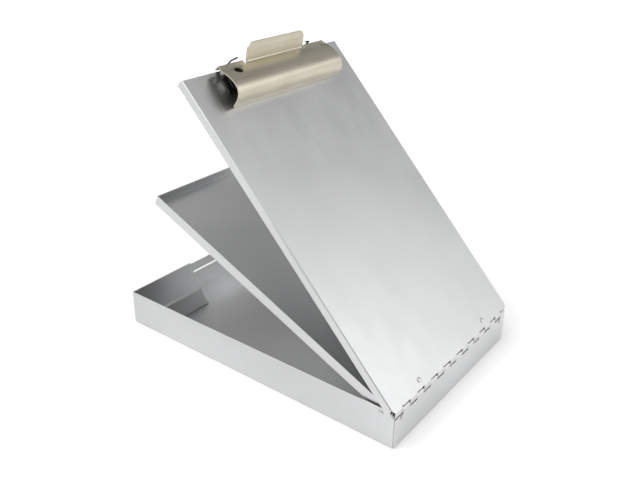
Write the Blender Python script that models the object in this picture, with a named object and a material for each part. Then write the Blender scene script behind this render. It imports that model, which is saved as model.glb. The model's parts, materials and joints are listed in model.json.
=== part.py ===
"""A storage clipboard of folded aluminium sheet: a shallow base tray, a thinner tray above it and a
lid with a spring clip, all turning on one rod along the short edge. It is modelled standing open.
Sizes are in millimetres and become metres where a mesh is made. X runs along the hinge, Y from the
hinge to the latch, Z up. The middle tray and the lid are drawn in their own closed position, with
Y counted from the rod (called s) and Z from the rod (called n), and an empty on the rod opens them.
"""

import math

import bmesh
import bpy
from mathutils import Vector
from mathutils.geometry import interpolate_bezier

MM = 0.001

# Sheet metal
SHEET = 1.0
BEND = 1.5  # outer radius of a fold
GAP = 0.3  # clearance between neighbours that touch on the real object
SEAM = 0.4  # between the hinge wall and the side walls' ends
PUNCH = 3.0  # how far a punch passes a sheet's face

# Base tray
BASE_WIDTH = 240.0
BASE_LENGTH = 362.0
BASE_HEIGHT = 40.5
SLOT_WIDTH = 45.0
SLOT_BOTTOM, SLOT_TOP = 24.5, 27.3
RIM_NOTCH_WIDTH, RIM_NOTCH_DEPTH = 50.0, 2.0

# Hinge
ROD_RADIUS = 1.5
BARREL_RADIUS = 2.8  # outside of a rolled knuckle
AXIS_Y = -BASE_LENGTH / 2 + BARREL_RADIUS
AXIS_Z = 37.5
SEGMENTS = 18  # lid and base knuckles by turns, starting with the lid's at -X
PITCH = 13.4
KNUCKLE_GAP = 0.15  # cut from each end of a knuckle
LUG_GAP = 0.9  # cut from the ends beside a tray lug
LUG_BOUNDARIES = (1, 7, 11, 17)
WRAP_STEPS = 10
TRAY_OPEN = math.radians(24.25)
LID_OPEN = math.radians(46.43)

# Middle tray
TRAY_WIDTH = 234.0
TRAY_START, TRAY_END = 4.5, 336.6
TRAY_DEPTH = 12.0
LUG_SHEET = 1.2
LUG_EYE_RADIUS = 2.6
LUG_TOP, LUG_BOTTOM = -0.5, -5.0  # n of the lug's edges
LUG_FRONT = 2.4

# Pen divider
DIVIDER_Y = 140.6
DIVIDER_TOP = 28.3
DIVIDER_FOOT = 9.5
DIVIDER_HEM = 2.5
DIVIDER_FOOT_X, DIVIDER_TOP_X = -36.5, -47.9  # its free end, at the foot and at the top
DIVIDER_HOLLOW = 1.6

# Lid
LID_WIDTH = 247.6
LID_TOP = 5.5  # n of its upper face
LID_START, LID_END = 3.2, 371.7
LID_COVER = 2.5  # the plate reaches over the base's knuckles to here
FLANGE_START = 6.0
FLANGE_BOTTOM = -3.0

# Clip; its heights are counted from the lid's upper face
CLIP_SHEET = 1.2
PIN_S, PIN_HEIGHT = 365.0, 7.0
PIN_RADIUS = 1.5
CLIP_HALF_FOOT, CLIP_HALF_CREST = 88.0, 85.5
FOOT_S, CREST_S, SHOULDER_S, FOLD_S = 329.8, 344.3, 364.6, 368.3
CREST_HEIGHT, SHOULDER_HEIGHT, FOLD_HEIGHT = 20.8, 14.2, 13.1
FRONT_HANDLES = ((FOOT_S - 1.2, 9.5), (333.2, CREST_HEIGHT))
BACK_HANDLES = ((351.5, CREST_HEIGHT), (357.5, 18.4))
FOOT_CORNER = 7.0
TAB_HALF = 45.5
TAB_END_S, TAB_END_HEIGHT = 379.6, 28.2
TAB_CORNER = 8.0
HEM_INNER, HEM_OUTER = 49.0, 84.0
HEM_S, HEM_BOTTOM, HEM_BEND = 371.0, 6.5, 2.0
JAW_HOLE, JAW_HOLE_RADIUS = (-66.4, 359.7), 5.2
JAW_HOLE_SLANT = 0.76  # how much shorter it is seen from above, as the sheet slopes there
NOTCH_RADIUS = 1.5
BASE_PLATE_START, BASE_PLATE_END = 345.0, 370.5
EAR_X, EAR_START, EAR_END, EAR_RADIUS = 78.6, 360.5, 367.5, 4.0
JAW_EAR_X, JAW_EAR_RADIUS = 74.0, 3.2
PIN_HEAD_RADIUS, PIN_HEAD_HEIGHT = 2.4, 1.0

# Clip springs
WIRE_RADIUS = 0.8
COIL_RADIUS = 2.9
COIL_TURNS = 4
COIL_PITCH = 2.0
COIL_START_X = 71.8
FRONT_LEG = (350.0, 2.9)  # (s, height) of the front leg's end
REAR_BEND_S, REAR_BEND_RADIUS, REAR_LEG_TOP = 371.2, 1.9, 12.4
REAR_TIP_X, REAR_TIP_TOP = 57.1, 16.0

# Latch strip
LATCH_WIDTH = 44.0
LATCH_SHEET = 0.8
LATCH_TOP = 3.6  # n of its upper face
LATCH_START = 349.0
LATCH_PIVOT_S = 354.5
LATCH_BEND = 1.6
CREASE = 1.25  # depth and half height of the crease that snaps into the slot
LIP_START, LIP_REACH = 1.4, 2.8  # below the crease, and outwards and downwards
WALL_OUTER_S = BASE_LENGTH / 2 - AXIS_Y
SLOT_N = (SLOT_BOTTOM + SLOT_TOP) / 2 - AXIS_Z

# Rivets
SHANK_RADIUS = 1.5
HOLE_RADIUS = SHANK_RADIUS + GAP
HEAD_RADIUS, HEAD_HEIGHT = 2.7, 0.8
TAIL_RADIUS, TAIL_HEIGHT = 2.3, 0.7
LATCH_TAIL_GAP = 0.5


# ---------------------------------------------------------------- scene, empties and materials

for old in list(bpy.data.objects):
    bpy.data.objects.remove(old, do_unlink=True)


def empty(name, location, angle=0.0, parent=None):
    """An empty on a joint's axis, turned about X by the angle at which its body stands."""
    made = bpy.data.objects.new(name, None)
    made.location = Vector(location) * MM
    made.rotation_euler = (angle, 0, 0)
    made.parent = parent
    bpy.context.collection.objects.link(made)
    return made


def finish(name, colour, metallic, roughness):
    material = bpy.data.materials.new(name)
    material.use_nodes = True
    shader = material.node_tree.nodes["Principled BSDF"]
    shader.inputs["Base Color"].default_value = (*colour, 1)
    shader.inputs["Metallic"].default_value = metallic
    shader.inputs["Roughness"].default_value = roughness
    return material


tray_axis = empty("tray_axis", (0, AXIS_Y, AXIS_Z), TRAY_OPEN)
lid_axis = empty("lid_axis", (0, AXIS_Y, AXIS_Z), LID_OPEN)
jaw_axis = empty("jaw_axis", (0, PIN_S, LID_TOP + PIN_HEIGHT), 0, lid_axis)
latch_axis = empty("latch_axis", (0, LATCH_PIVOT_S, LATCH_TOP - LATCH_SHEET / 2), 0, lid_axis)

aluminium = finish("satin_aluminium", (0.72, 0.73, 0.74), 0.85, 0.38)
rivet_metal = finish("rivet_aluminium", (0.66, 0.67, 0.68), 0.85, 0.42)
rod_steel = finish("rod_steel", (0.45, 0.45, 0.46), 1.0, 0.35)
clip_steel = finish("nickel_plated_steel", (0.62, 0.57, 0.46), 1.0, 0.32)
spring_steel = finish("spring_steel", (0.30, 0.29, 0.27), 1.0, 0.40)


# ---------------------------------------------------------------- making meshes

def add_object(name, bm, material=None, parent=None, shift=(0, 0, 0)):
    """Turns a bmesh drawn in millimetres into an object. shift moves it before it is parented."""
    bmesh.ops.translate(bm, verts=bm.verts, vec=Vector(shift))
    bmesh.ops.scale(bm, verts=bm.verts, vec=(MM, MM, MM))
    mesh = bpy.data.meshes.new(name)
    bm.to_mesh(mesh)
    bm.free()
    made = bpy.data.objects.new(name, mesh)
    made.parent = parent
    bpy.context.collection.objects.link(made)
    if material:
        mesh.materials.append(material)
    return made


def shade_round(made, degrees=35):
    made.data.shade_smooth()
    made.data.set_sharp_from_angle(angle=math.radians(degrees))


class Skin:
    """The outer face of a folded sheet. Corners at one place are one vertex, so the faces join."""

    def __init__(self):
        self.bm = bmesh.new()
        self.found = {}

    def vertex(self, point):
        key = tuple(round(value * 1000) for value in point)
        if key not in self.found:
            self.found[key] = self.bm.verts.new(point)
        return self.found[key]

    def face(self, points):
        corners = []
        for point in points:
            corner = self.vertex(point)
            if corner not in corners:
                corners.append(corner)
        self.bm.faces.new(corners)

    def strip(self, first, second):
        """Quads between two rows of points."""
        for a, b, c, d in zip(first, first[1:], second[1:], second):
            self.face((a, b, c, d))

    def solid(self, name, outward, thickness, material, parent=None, shift=(0, 0, 0)):
        """Gives the skin its thickness, away from the side that its largest face shows."""
        bmesh.ops.recalc_face_normals(self.bm, faces=self.bm.faces)
        largest = max(self.bm.faces, key=lambda face: face.calc_area())
        if largest.normal.dot(Vector(outward)) < 0:
            bmesh.ops.reverse_faces(self.bm, faces=self.bm.faces)
        made = add_object(name, self.bm, material, parent, shift)
        sheet = made.modifiers.new("sheet", "SOLIDIFY")
        sheet.thickness = thickness * MM
        sheet.offset = -1
        sheet.use_even_offset = True
        sheet.use_quality_normals = True
        shade_round(made)
        return made


def prism(bm, outline, plane, low, high):
    """Adds the outline pushed from low to high along the axis that plane names."""
    def place(point, level):
        return {
            "X": (level, point[0], point[1]),
            "Y": (point[0], level, point[1]),
            "Z": (point[0], point[1], level),
        }[plane]

    near = [bm.verts.new(place(point, low)) for point in outline]
    far = [bm.verts.new(place(point, high)) for point in outline]
    faces = [bm.faces.new(near), bm.faces.new(far)]
    for i in range(len(outline)):
        j = (i + 1) % len(outline)
        faces.append(bm.faces.new((near[i], near[j], far[j], far[i])))
    bmesh.ops.recalc_face_normals(bm, faces=faces)


def arc(centre, radius, start, end, steps):
    """Points on an arc from one angle to another, in degrees."""
    turns = [math.radians(start + (end - start) * i / steps) for i in range(steps + 1)]
    return [(centre[0] + radius * math.cos(a), centre[1] + radius * math.sin(a)) for a in turns]


def circle(centre, radius, steps=16):
    return arc(centre, radius, 0, 360, steps)[:-1]


def rectangle(x0, x1, y0, y1):
    return [(x0, y0), (x1, y0), (x1, y1), (x0, y1)]


def apply_boolean(made, name, operation, bm):
    """Cuts or joins with shapes drawn in the piece's own frame."""
    tool = add_object(name, bm, parent=made.parent)
    tool.hide_render = True
    tool.display_type = "WIRE"
    modifier = made.modifiers.new(name, "BOOLEAN")
    modifier.operation = operation
    modifier.object = tool


def turned(name, profile, material, parent, place, direction, steps=14):
    """A turned piece: profile holds (radius, height) from one end to the other along direction."""
    bm = bmesh.new()
    rings = []
    for radius, height in profile:
        if radius == 0:
            rings.append([bm.verts.new((0, 0, height))])
        else:
            rings.append([bm.verts.new((x, y, height)) for x, y in circle((0, 0), radius, steps)])
    for lower, upper in zip(rings, rings[1:]):
        for i in range(steps):
            j = (i + 1) % steps
            corners = [lower[i % len(lower)], lower[j % len(lower)]]
            corners += [upper[j % len(upper)], upper[i % len(upper)]]
            bm.faces.new(list(dict.fromkeys(corners)))
    bmesh.ops.recalc_face_normals(bm, faces=bm.faces)
    turn = Vector((0, 0, 1)).rotation_difference(Vector(direction)).to_matrix()
    bmesh.ops.rotate(bm, verts=bm.verts, cent=(0, 0, 0), matrix=turn)
    made = add_object(name, bm, material, parent, place)
    shade_round(made)
    return made


def rivet(name, place, direction, grip, parent=None, tail_gap=GAP):
    """A rivet whose head stands on the sheet's face at place; grip is all that its shank passes."""
    head = GAP + HEAD_HEIGHT
    tail = grip + tail_gap
    profile = [
        (0, head),
        (HEAD_RADIUS * 0.6, head - HEAD_HEIGHT * 0.15),
        (HEAD_RADIUS, GAP + HEAD_HEIGHT * 0.3),
        (HEAD_RADIUS, GAP),
        (SHANK_RADIUS, GAP),
        (SHANK_RADIUS, -tail),
        (TAIL_RADIUS, -tail),
        (TAIL_RADIUS * 0.85, -tail - TAIL_HEIGHT),
        (0, -tail - TAIL_HEIGHT),
    ]
    turned(name, profile, rivet_metal, parent, place, direction, 12)


def hole(bm, plane, centre, low, high, radius=HOLE_RADIUS):
    prism(bm, circle(centre, radius, 12), plane, low, high)


# ---------------------------------------------------------------- hinge layout

def segment_ends(index):
    """Where the knuckle in this segment starts and ends along X."""
    start = (index - SEGMENTS / 2) * PITCH
    end = start + PITCH
    start += LUG_GAP if index in LUG_BOUNDARIES else KNUCKLE_GAP
    end -= LUG_GAP if index + 1 in LUG_BOUNDARIES else KNUCKLE_GAP
    return max(start, -LID_WIDTH / 2), min(end, BASE_WIDTH / 2)


LID_SEGMENTS = [segment_ends(i) for i in range(0, SEGMENTS, 2)]
BASE_SEGMENTS = [segment_ends(i) for i in range(1, SEGMENTS, 2)]
WALL_TOP = AXIS_Z - BARREL_RADIUS - GAP


def fold_levels(radius):
    """(inset, height) of the rows that round the fold between a floor and a wall."""
    turns = [math.radians(a) for a in (0, 45, 90)]
    return [(radius * (1 - math.sin(a)), radius * (1 - math.cos(a))) for a in turns]


# ---------------------------------------------------------------- base tray

SEAM_Y = -BASE_LENGTH / 2 + SHEET + SEAM  # end of the side walls; the hinge wall covers them
TAB_LOW, TAB_HIGH, TAB_REACH = 3.0, 33.0, 19.0
CORNER_EASE = 0.7  # above the fold, where the hinge wall's corner takes its own thickness
BARREL_CLEAR = BARREL_RADIUS + 0.5
SIDE_RIVET = (-164.0, 35.0)
END_RIVET = (108.0, 30.6)
DIVIDER_RIVETS = ((-104.0, 146.5), (-58.0, 146.5))


def base_floor(skin):
    rings = []
    for inset, height in fold_levels(BEND):
        x, y = BASE_WIDTH / 2 - inset, BASE_LENGTH / 2 - inset
        rings.append([(-x, -y, height), (x, -y, height), (x, y, height), (-x, y, height)])
    skin.face(rings[0])
    for lower, upper in zip(rings, rings[1:]):
        for i in range(4):
            j = (i + 1) % 4
            corners = [lower[i], lower[j], upper[j], upper[i]]
            side = i in (1, 3)
            if side and upper is rings[-1]:
                # The side wall stops short of the hinge wall, so its foot has a corner there.
                corners.insert(3, (upper[j][0], SEAM_Y, BEND))
            skin.face(corners)


def base_side_wall(skin, x):
    tab_x = x - math.copysign(TAB_REACH, x)
    barrel = arc((AXIS_Y, AXIS_Z), BARREL_CLEAR, -90, 0, 5)
    edge = [(BASE_LENGTH / 2, BEND), (SEAM_Y, BEND), (SEAM_Y, TAB_LOW), (SEAM_Y, TAB_HIGH)]
    edge += [(SEAM_Y, AXIS_Z - BARREL_CLEAR), *barrel]
    edge += [(AXIS_Y + BARREL_CLEAR, BASE_HEIGHT), (BASE_LENGTH / 2, BASE_HEIGHT)]
    skin.face([(x, y, z) for y, z in edge])
    tab = [(x, TAB_LOW), (tab_x, TAB_LOW), (tab_x, TAB_HIGH), (x, TAB_HIGH)]
    skin.face([(tx, SEAM_Y, z) for tx, z in tab])


def base_hinge_wall(skin):
    y, half = -BASE_LENGTH / 2, BASE_WIDTH / 2
    top = [(half, WALL_TOP)]
    for start, end in reversed(BASE_SEGMENTS):
        top += [(end, WALL_TOP), (start, WALL_TOP)]
    top.append((-half, WALL_TOP))
    ease = BEND + CORNER_EASE
    ends = [(-half, BEND), (half, BEND), (half, ease), *top, (-half, ease)]
    skin.face([(x, y, z) for x, z in ends])
    wrap = arc((AXIS_Y, AXIS_Z), BARREL_RADIUS, 180, -60, WRAP_STEPS)
    for start, end in BASE_SEGMENTS:
        rows = [(y, WALL_TOP), *wrap]
        skin.strip([(start, *row) for row in rows], [(end, *row) for row in rows])


def base_cuts():
    bm = bmesh.new()
    middle = (SLOT_BOTTOM + SLOT_TOP) / 2
    radius = (SLOT_TOP - SLOT_BOTTOM) / 2
    reach = SLOT_WIDTH / 2 - radius
    slot = arc((reach, middle), radius, -90, 90, 6) + arc((-reach, middle), radius, 90, 270, 6)
    front = BASE_LENGTH / 2
    prism(bm, slot, "Y", front - PUNCH, front + PUNCH)
    notch_low = BASE_HEIGHT - RIM_NOTCH_DEPTH
    notch_high = BASE_HEIGHT + RIM_NOTCH_DEPTH / 2
    half = RIM_NOTCH_WIDTH / 2
    slope = notch_high - notch_low
    notch = rectangle(-half, half, notch_low, notch_high)
    notch[2:] = [(half + slope, notch_high), (-half - slope, notch_high)]
    prism(bm, notch, "Y", front - PUNCH, front + PUNCH)
    for side in (-1, 1):
        wall = side * BASE_WIDTH / 2
        hole(bm, "X", SIDE_RIVET, wall - PUNCH, wall + PUNCH)
        hole(bm, "Y", (side * END_RIVET[0], END_RIVET[1]), -front - PUNCH, SEAM_Y + PUNCH)
    for centre in DIVIDER_RIVETS:
        hole(bm, "Z", centre, -PUNCH, SHEET + GAP / 2)
    return bm


base_skin = Skin()
base_floor(base_skin)
base_hinge_wall(base_skin)
for side_x in (-BASE_WIDTH / 2, BASE_WIDTH / 2):
    base_side_wall(base_skin, side_x)
front_corners = rectangle(-BASE_WIDTH / 2, BASE_WIDTH / 2, BEND, BASE_HEIGHT)
base_skin.face([(x, BASE_LENGTH / 2, z) for x, z in front_corners])
base_tray = base_skin.solid("base_tray", (0, 0, -1), SHEET, aluminium)
apply_boolean(base_tray, "base_tray_cuts", "DIFFERENCE", base_cuts())

for number, side in ((1, -1), (2, 1)):
    rivet(f"side_rivet_{number}", (side * BASE_WIDTH / 2, *SIDE_RIVET), (side, 0, 0), SHEET)
    corner = (side * END_RIVET[0], -BASE_LENGTH / 2, END_RIVET[1])
    rivet(f"end_rivet_{number}", corner, (0, -1, 0), 2 * SHEET + SEAM)


# ---------------------------------------------------------------- pen divider

def divider_end():
    """The divider's free end, from its foot to its top: a shallow hollow curve."""
    foot, top = Vector((DIVIDER_FOOT_X, SHEET + GAP)), Vector((DIVIDER_TOP_X, DIVIDER_TOP))
    points = []
    for i in range(7):
        share = i / 6
        point = foot.lerp(top, share)
        points.append((point.x - DIVIDER_HOLLOW * 4 * share * (1 - share), point.y))
    return points


divider_skin = Skin()
divider_start = -BASE_WIDTH / 2 + SHEET + GAP
free_end = divider_end()
low, high = free_end[0][1], free_end[-1][1]
divider_skin.face(
    [(divider_start, DIVIDER_Y, low)]
    + [(x, DIVIDER_Y, z) for x, z in free_end]
    + [(divider_start, DIVIDER_Y, high)]
)
for z, end_x, reach in ((low, free_end[0][0], DIVIDER_FOOT), (high, free_end[-1][0], DIVIDER_HEM)):
    flange = rectangle(divider_start, end_x, DIVIDER_Y, DIVIDER_Y + reach)
    divider_skin.face([(x, y, z) for x, y in flange])
pen_divider = divider_skin.solid("pen_divider", (0, -1, 0), SHEET, aluminium)
divider_holes = bmesh.new()
for centre in DIVIDER_RIVETS:
    hole(divider_holes, "Z", centre, SHEET + GAP / 2, SHEET + PUNCH)
apply_boolean(pen_divider, "pen_divider_holes", "DIFFERENCE", divider_holes)


def floor_rivet(name, centre):
    """A rivet set flush in the floor, with its head on the divider's foot."""
    top = 2 * SHEET + 2 * GAP
    bottom = SHEET / 10
    profile = [
        (0, top + HEAD_HEIGHT),
        (HEAD_RADIUS * 0.6, top + HEAD_HEIGHT * 0.85),
        (HEAD_RADIUS, top + HEAD_HEIGHT * 0.3),
        (HEAD_RADIUS, top),
        (SHANK_RADIUS, top),
        (SHANK_RADIUS, bottom),
        (0, bottom),
    ]
    turned(name, profile, rivet_metal, None, (*centre, 0), (0, 0, 1), 12)


for number, centre in enumerate(DIVIDER_RIVETS, 1):
    floor_rivet(f"divider_rivet_{number}", centre)


# ---------------------------------------------------------------- hinge rod

ROD_START, ROD_END, ROD_CHAMFER = -120.9, 119.8, 0.3
rod_length = ROD_END - ROD_START
rod_profile = [
    (0, 0),
    (ROD_RADIUS - ROD_CHAMFER, 0),
    (ROD_RADIUS, ROD_CHAMFER),
    (ROD_RADIUS, rod_length - ROD_CHAMFER),
    (ROD_RADIUS - ROD_CHAMFER, rod_length),
    (0, rod_length),
]
turned("hinge_rod", rod_profile, rod_steel, None, (ROD_START, AXIS_Y, AXIS_Z), (1, 0, 0), 16)


# ---------------------------------------------------------------- middle tray

def tray_skin():
    skin = Skin()
    rings = []
    for inset, height in (*fold_levels(BEND), (0, TRAY_DEPTH)):
        x, n = TRAY_WIDTH / 2 - inset, height - TRAY_DEPTH
        start, end = TRAY_START + inset, TRAY_END - inset
        rings.append([(-x, start, n), (x, start, n), (x, end, n), (-x, end, n)])
    skin.face(rings[0])
    for lower, upper in zip(rings, rings[1:]):
        skin.strip([*lower, lower[0]], [*upper, upper[0]])
    return skin


def tray_lugs():
    """Thin plates behind the rear wall, each with an eye on the rod."""
    bm = bmesh.new()
    low_angle = math.degrees(math.asin(LUG_TOP / LUG_EYE_RADIUS))
    inside_wall = TRAY_START + SHEET / 2
    outline = [(inside_wall, LUG_TOP), *arc((0, 0), LUG_EYE_RADIUS, low_angle, 270, 12)]
    outline += [(LUG_FRONT, LUG_BOTTOM), (inside_wall, LUG_BOTTOM)]
    for boundary in LUG_BOUNDARIES:
        x = (boundary - SEGMENTS / 2) * PITCH
        prism(bm, outline, "X", x - LUG_SHEET / 2, x + LUG_SHEET / 2)
    return bm


mid_tray = tray_skin().solid("mid_tray", (0, 0, -1), SHEET, aluminium, tray_axis)
apply_boolean(mid_tray, "mid_tray_lugs", "UNION", tray_lugs())
eye_cut = bmesh.new()
hole(eye_cut, "X", (0, 0), -LID_WIDTH / 2, LID_WIDTH / 2, ROD_RADIUS + GAP)
apply_boolean(mid_tray, "mid_tray_eyes", "DIFFERENCE", eye_cut)


# ---------------------------------------------------------------- lid

LID_RIVETS = ((-69.0, 10.0), (69.0, 10.0))
CLIP_RIVETS = ((-58.0, 352.0), (58.0, 352.0))
LATCH_RIVETS = ((-14.0, LATCH_PIVOT_S), (14.0, LATCH_PIVOT_S))


def lid_skin():
    skin = Skin()
    half = LID_WIDTH / 2
    levels = [(inset, LID_TOP - height) for inset, height in fold_levels(BEND)]
    levels.append((0, FLANGE_BOTTOM))
    flat = half - BEND
    hinge_edge = [(-flat, FLANGE_START, LID_TOP), (-flat, LID_START, LID_TOP)]
    for (start, end), (cover_start, cover_end) in zip(LID_SEGMENTS, BASE_SEGMENTS):
        hinge_edge += [(start, LID_START, LID_TOP), (end, LID_START, LID_TOP)]
        cover = rectangle(cover_start, cover_end, LID_START, LID_COVER)
        hinge_edge += [(cover[i][0], cover[i][1], LID_TOP) for i in (0, 3, 2, 1)]
    hinge_edge += [(flat, LID_START, LID_TOP), (flat, FLANGE_START, LID_TOP)]
    front = LID_END - BEND
    skin.face([*hinge_edge, (flat, front, LID_TOP), (-flat, front, LID_TOP)])
    rows = []
    for inset, n in levels:
        x, end = half - inset, LID_END - inset
        rows.append([(-x, FLANGE_START, n), (-x, end, n), (x, end, n), (x, FLANGE_START, n)])
    for upper, lower in zip(rows, rows[1:]):
        skin.strip(upper, lower)
    neck = BARREL_RADIUS * math.sqrt(0.5)
    wrap = arc((0, 0), BARREL_RADIUS, 135, 385, WRAP_STEPS)
    profile = [(LID_START, LID_TOP), (LID_TOP - 2 * neck, LID_TOP), *wrap]
    for start, end in LID_SEGMENTS:
        skin.strip([(start, *point) for point in profile], [(end, *point) for point in profile])
    return skin


lid = lid_skin().solid("lid", (0, 0, 1), SHEET, aluminium, lid_axis)
lid_holes = bmesh.new()
for centre in (*LID_RIVETS, *CLIP_RIVETS, *LATCH_RIVETS):
    hole(lid_holes, "Z", centre, LID_TOP - PUNCH, LID_TOP + PUNCH)
apply_boolean(lid, "lid_holes", "DIFFERENCE", lid_holes)
for number, centre in enumerate(LID_RIVETS, 1):
    rivet(f"lid_rivet_{number}", (*centre, LID_TOP), (0, 0, 1), SHEET, lid_axis)


# ---------------------------------------------------------------- clip base, its rivets and pin

def clip_base_skin():
    """The plate under the clip and, folded up from its ends, two ears that hold the pin."""
    skin = Skin()
    bottom = LID_TOP + GAP
    pin_n = LID_TOP + PIN_HEIGHT
    edge = []
    for side in (-1, 1):
        x = side * EAR_X
        ends = [(x, s) for s in (BASE_PLATE_START, EAR_START, EAR_END, BASE_PLATE_END)]
        edge += ends if side > 0 else ends[::-1]
        head = arc((PIN_S, pin_n), EAR_RADIUS, 0, 180, 8)
        ear = [(EAR_START, bottom), (EAR_END, bottom), *head]
        skin.face([(x, s, n) for s, n in ear])
    skin.face([(x, s, bottom) for x, s in edge])
    return skin


clip_base = clip_base_skin().solid("clip_base", (0, 0, -1), CLIP_SHEET, clip_steel, lid_axis)
clip_base_holes = bmesh.new()
for centre in (*CLIP_RIVETS, *LATCH_RIVETS):
    hole(clip_base_holes, "Z", centre, LID_TOP + GAP / 2, LID_TOP + PUNCH)
pin_place = (0, PIN_S, LID_TOP + PIN_HEIGHT)
for side in (-1, 1):
    ear = side * EAR_X
    hole(clip_base_holes, "X", pin_place[1:], ear - PUNCH, ear + PUNCH, PIN_RADIUS + GAP)
apply_boolean(clip_base, "clip_base_holes", "DIFFERENCE", clip_base_holes)

plate_top = LID_TOP + GAP + CLIP_SHEET
clip_grip = CLIP_SHEET + GAP + SHEET
for number, centre in enumerate(CLIP_RIVETS, 1):
    rivet(f"clip_rivet_{number}", (*centre, plate_top), (0, 0, 1), clip_grip, lid_axis)
latch_grip = plate_top - (LATCH_TOP - LATCH_SHEET)
for number, centre in enumerate(LATCH_RIVETS, 1):
    place = (*centre, plate_top)
    rivet(f"latch_rivet_{number}", place, (0, 0, 1), latch_grip, lid_axis, LATCH_TAIL_GAP)

pin_reach = EAR_X + GAP
pin_end = pin_reach + PIN_HEAD_HEIGHT
pin_profile = [
    (0, -pin_end),
    (PIN_HEAD_RADIUS, -pin_end),
    (PIN_HEAD_RADIUS, -pin_reach),
    (PIN_RADIUS, -pin_reach),
    (PIN_RADIUS, pin_reach),
    (PIN_HEAD_RADIUS, pin_reach),
    (PIN_HEAD_RADIUS, pin_end),
    (0, pin_end),
]
turned("clip_pin", pin_profile, rod_steel, lid_axis, pin_place, (1, 0, 0), 16)


# ---------------------------------------------------------------- clip springs

def spring_path(side):
    """The wire's line: a leg on the plate, the coil round the pin, a leg up behind the hem."""
    bottom = PIN_HEIGHT - COIL_RADIUS
    coil_foot = PIN_S - EAR_RADIUS
    points = [(side * COIL_START_X, *FRONT_LEG), (side * COIL_START_X, coil_foot, bottom)]
    coil = arc((PIN_S, PIN_HEIGHT), COIL_RADIUS, -90, -90 + 360 * COIL_TURNS, 12 * COIL_TURNS)
    for i, (s, height) in enumerate(coil):
        points.append((side * (COIL_START_X - COIL_PITCH * i / 12), s, height))
    end_x = side * (COIL_START_X - COIL_PITCH * COIL_TURNS)
    bend = arc((REAR_BEND_S, bottom + REAR_BEND_RADIUS), REAR_BEND_RADIUS, -90, 0, 3)
    points += [(end_x, s, height) for s, height in bend]
    points.append((end_x, REAR_BEND_S + REAR_BEND_RADIUS, REAR_LEG_TOP))
    points.append((side * REAR_TIP_X, REAR_BEND_S + REAR_BEND_RADIUS, REAR_TIP_TOP))
    return points


def clip_spring(name, side):
    data = bpy.data.curves.new(name, "CURVE")
    data.dimensions = "3D"
    data.bevel_depth = WIRE_RADIUS * MM
    data.bevel_resolution = 1
    data.use_fill_caps = True
    path = spring_path(side)
    spline = data.splines.new("POLY")
    spline.points.add(len(path) - 1)
    for point, (x, s, height) in zip(spline.points, path):
        point.co = (x * MM, s * MM, (LID_TOP + height) * MM, 1)
    data.materials.append(spring_steel)
    made = bpy.data.objects.new(name, data)
    made.parent = lid_axis
    bpy.context.collection.objects.link(made)


clip_spring("clip_spring_left", -1)
clip_spring("clip_spring_right", 1)


# ---------------------------------------------------------------- clip jaw

def jaw_profile():
    """(s, height) of the cover's outer face, from the foot over the crest to the fold."""
    crest, shoulder = (CREST_S, CREST_HEIGHT), (SHOULDER_S, SHOULDER_HEIGHT)
    front = ((FOOT_S, GAP), *FRONT_HANDLES, crest)
    back = (crest, *BACK_HANDLES, shoulder)
    points = []
    for knots, count in ((front, 9), (back, 7)):
        curve = interpolate_bezier(*[Vector((*knot, 0)) for knot in knots], count)
        points += [(point.x, point.y) for point in curve[:-1]]
    return [*points, shoulder, (FOLD_S, FOLD_HEIGHT)]


def jaw_half_width(s, height):
    """Widest just above the foot, whose corners are rounded, and narrower along the crest."""
    if s > CREST_S:
        return CLIP_HALF_CREST
    half = CLIP_HALF_FOOT + (CLIP_HALF_CREST - CLIP_HALF_FOOT) * height / CREST_HEIGHT
    if height < FOOT_CORNER:
        half -= FOOT_CORNER - math.sqrt(FOOT_CORNER**2 - (FOOT_CORNER - height) ** 2)
    return half


def jaw_skin():
    skin = Skin()
    columns = (-HEM_OUTER, -HEM_INNER, -TAB_HALF, TAB_HALF, HEM_INNER, HEM_OUTER)
    rows = []
    for s, height in jaw_profile():
        half = jaw_half_width(s, height)
        rows.append([(x, s, height) for x in (-half, *columns, half)])
    for lower, upper in zip(rows, rows[1:]):
        skin.strip(lower, upper)
    # The tab rises from the fold between the two notches that let it bend.
    rise = Vector((TAB_END_S - FOLD_S, TAB_END_HEIGHT - FOLD_HEIGHT))
    length = rise.length
    along = rise / length
    last = [(-TAB_HALF, FOLD_S, FOLD_HEIGHT), (TAB_HALF, FOLD_S, FOLD_HEIGHT)]
    turns = [math.radians(a) for a in (0, 18, 36, 54, 72, 90)]
    for turn in turns:
        distance = length - TAB_CORNER * (1 - math.sin(turn))
        half = TAB_HALF - TAB_CORNER * (1 - math.cos(turn))
        s, height = FOLD_S + along.x * distance, FOLD_HEIGHT + along.y * distance
        row = [(-half, s, height), (half, s, height)]
        skin.strip(last, row)
        last = row
    # Beside the tab the rear edge is turned down.
    for inner, outer in ((-HEM_OUTER, -HEM_INNER), (HEM_INNER, HEM_OUTER)):
        bend = arc((HEM_S - HEM_BEND, FOLD_HEIGHT - HEM_BEND - 0.2), HEM_BEND, 80, 0, 4)
        path = [(FOLD_S, FOLD_HEIGHT), *bend, (HEM_S, HEM_BOTTOM)]
        skin.strip([(inner, *point) for point in path], [(outer, *point) for point in path])
    return skin


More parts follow.
